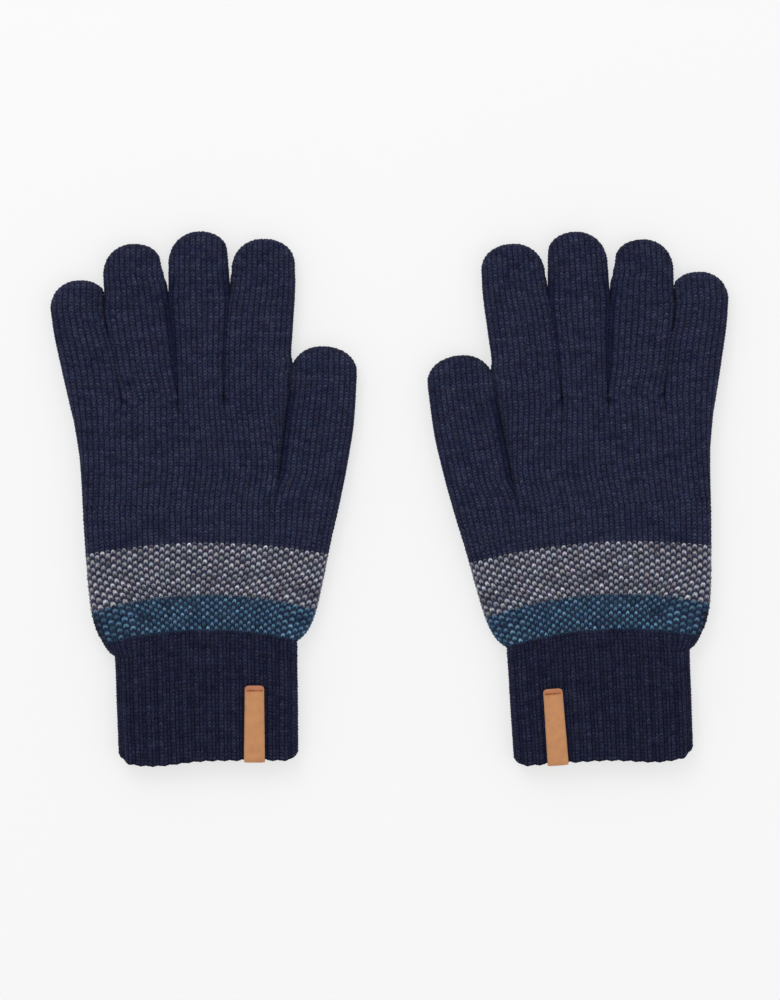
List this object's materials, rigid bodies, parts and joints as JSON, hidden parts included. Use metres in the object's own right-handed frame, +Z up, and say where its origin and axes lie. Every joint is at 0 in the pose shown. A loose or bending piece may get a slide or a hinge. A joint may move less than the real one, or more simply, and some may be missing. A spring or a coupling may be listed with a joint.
{
  "type": "pair of knitted gloves",
  "caption": "Pair of knitted five-finger gloves lying flat, each with a ribbed cuff, a grey and a blue birdseye band and a narrow leather label folded over the hem.",
  "frame": {"origin": "under the middle of the pair, on the surface they lie on", "axes": "+Z up through the backs of the gloves, +Y from the cuffs to the fingertips, +X from the left glove to the right glove"},
  "size_m": [0.3158, 0.2518, 0.0142],
  "materials": {
    "navy_yarn": "soft plain knit in navy heather yarn",
    "navy_rib": "narrow rib knit in dark navy heather yarn",
    "grey_yarn": "birdseye knit, light grey loops on navy",
    "blue_yarn": "birdseye knit, dusty blue loops on navy",
    "leather": "smooth vegetable-tanned leather, satin",
    "rust_thread": "rust-brown sewing thread"
  },
  "bodies": {
    "left_hand": {"left_hand": "navy_yarn", "left_grey_band": "grey_yarn", "left_blue_band": "blue_yarn"},
    "left_cuff": {"left_cuff": "navy_rib", "left_label": "leather", "left_label_stitch": "rust_thread"},
    "left_little_lower": {"left_little_lower": "navy_yarn"},
    "left_little_upper": {"left_little_upper": "navy_yarn"},
    "left_ring_lower": {"left_ring_lower": "navy_yarn"},
    "left_ring_upper": {"left_ring_upper": "navy_yarn"},
    "left_middle_lower": {"left_middle_lower": "navy_yarn"},
    "left_middle_upper": {"left_middle_upper": "navy_yarn"},
    "left_index_lower": {"left_index_lower": "navy_yarn"},
    "left_index_upper": {"left_index_upper": "navy_yarn"},
    "left_thumb_lower": {"left_thumb_lower": "navy_yarn"},
    "left_thumb_upper": {"left_thumb_upper": "navy_yarn"},
    "right_hand": {"right_hand": "navy_yarn", "right_grey_band": "grey_yarn", "right_blue_band": "blue_yarn"},
    "right_cuff": {"right_cuff": "navy_rib", "right_label": "leather", "right_label_stitch": "rust_thread"},
    "right_little_lower": {"right_little_lower": "navy_yarn"},
    "right_little_upper": {"right_little_upper": "navy_yarn"},
    "right_ring_lower": {"right_ring_lower": "navy_yarn"},
    "right_ring_upper": {"right_ring_upper": "navy_yarn"},
    "right_middle_lower": {"right_middle_lower": "navy_yarn"},
    "right_middle_upper": {"right_middle_upper": "navy_yarn"},
    "right_index_lower": {"right_index_lower": "navy_yarn"},
    "right_index_upper": {"right_index_upper": "navy_yarn"},
    "right_thumb_lower": {"right_thumb_lower": "navy_yarn"},
    "right_thumb_upper": {"right_thumb_upper": "navy_yarn"}
  },
  "joints": [
    {"name": "gloves_apart", "type": "slide", "parent": "left_hand", "child": "right_hand", "axis": [1, 0, 0], "range_m": [0, 0.08]},
    {"name": "left_wrist_fold", "type": "hinge", "parent": "left_hand", "child": "left_cuff", "pos_m": [-0.08478, -0.05963, 0.012], "axis": [-1, 0, 0], "range_deg": [0, 80]},
    {"name": "left_little_knuckle", "type": "hinge", "parent": "left_hand", "child": "left_little_lower", "pos_m": [-0.13738, 0.04807, 0.012], "axis": [1, 0, 0], "range_deg": [0, 90]},
    {"name": "left_little_fold", "type": "hinge", "parent": "left_little_lower", "child": "left_little_upper", "pos_m": [-0.14247, 0.07407, 0.012], "axis": [1, 0, 0], "range_deg": [0, 100]},
    {"name": "left_ring_knuckle", "type": "hinge", "parent": "left_hand", "child": "left_ring_lower", "pos_m": [-0.11178, 0.04807, 0.012], "axis": [1, 0, 0], "range_deg": [0, 90]},
    {"name": "left_ring_fold", "type": "hinge", "parent": "left_ring_lower", "child": "left_ring_upper", "pos_m": [-0.11633, 0.08207, 0.012], "axis": [1, 0, 0], "range_deg": [0, 100]},
    {"name": "left_middle_knuckle", "type": "hinge", "parent": "left_hand", "child": "left_middle_lower", "pos_m": [-0.08793, 0.04807, 0.012], "axis": [1, 0, 0], "range_deg": [0, 90]},
    {"name": "left_middle_fold", "type": "hinge", "parent": "left_middle_lower", "child": "left_middle_upper", "pos_m": [-0.08825, 0.08507, 0.012], "axis": [1, 0, 0], "range_deg": [0, 100]},
    {"name": "left_index_knuckle", "type": "hinge", "parent": "left_hand", "child": "left_index_lower", "pos_m": [-0.06203, 0.04807, 0.012], "axis": [1, 0, 0], "range_deg": [0, 75]},
    {"name": "left_index_fold", "type": "hinge", "parent": "left_index_lower", "child": "left_index_upper", "pos_m": [-0.06018, 0.08307, 0.012], "axis": [1, 0, 0], "range_deg": [0, 100]},
    {"name": "left_thumb_root", "type": "hinge", "parent": "left_hand", "child": "left_thumb_lower", "pos_m": [-0.03843, -0.00193, 0.012], "axis": [1, 0, 0], "range_deg": [0, 65]},
    {"name": "left_thumb_fold", "type": "hinge", "parent": "left_thumb_lower", "child": "left_thumb_upper", "pos_m": [-0.0329, 0.03407, 0.012], "axis": [1, 0, 0], "range_deg": [0, 80]},
    {"name": "right_wrist_fold", "type": "hinge", "parent": "right_hand", "child": "right_cuff", "pos_m": [0.09586, -0.0596, 0.012], "axis": [-0.9973, -0.0732, 0], "range_deg": [0, 80]},
    {"name": "right_little_knuckle", "type": "hinge", "parent": "right_hand", "child": "right_little_lower", "pos_m": [0.14043, 0.05167, 0.012], "axis": [0.9973, 0.0732, 0], "range_deg": [0, 90]},
    {"name": "right_little_fold", "type": "hinge", "parent": "right_little_lower", "child": "right_little_upper", "pos_m": [0.1436, 0.07797, 0.012], "axis": [0.9973, 0.0732, 0], "range_deg": [0, 100]},
    {"name": "right_ring_knuckle", "type": "hinge", "parent": "right_hand", "child": "right_ring_lower", "pos_m": [0.1149, 0.04979, 0.012], "axis": [0.9973, 0.0732, 0], "range_deg": [0, 90]},
    {"name": "right_ring_fold", "type": "hinge", "parent": "right_ring_lower", "child": "right_ring_upper", "pos_m": [0.11694, 0.08403, 0.012], "axis": [0.9973, 0.0732, 0], "range_deg": [0, 100]},
    {"name": "right_middle_knuckle", "type": "hinge", "parent": "right_hand", "child": "right_middle_lower", "pos_m": [0.09111, 0.04805, 0.012], "axis": [0.9973, 0.0732, 0], "range_deg": [0, 90]},
    {"name": "right_middle_fold", "type": "hinge", "parent": "right_middle_lower", "child": "right_middle_upper", "pos_m": [0.08872, 0.08497, 0.012], "axis": [0.9973, 0.0732, 0], "range_deg": [0, 100]},
    {"name": "right_index_knuckle", "type": "hinge", "parent": "right_hand", "child": "right_index_lower", "pos_m": [0.06528, 0.04615, 0.012], "axis": [0.9973, 0.0732, 0], "range_deg": [0, 75]},
    {"name": "right_index_fold", "type": "hinge", "parent": "right_index_lower", "child": "right_index_upper", "pos_m": [0.06087, 0.08092, 0.012], "axis": [0.9973, 0.0732, 0], "range_deg": [0, 100]},
    {"name": "right_thumb_root", "type": "hinge", "parent": "right_hand", "child": "right_thumb_lower", "pos_m": [0.04541, -0.00545, 0.012], "axis": [0.9973, 0.0732, 0], "range_deg": [0, 65]},
    {"name": "right_thumb_fold", "type": "hinge", "parent": "right_thumb_lower", "child": "right_thumb_upper", "pos_m": [0.03725, 0.03005, 0.012], "axis": [0.9973, 0.0732, 0], "range_deg": [0, 80]}
  ]
}
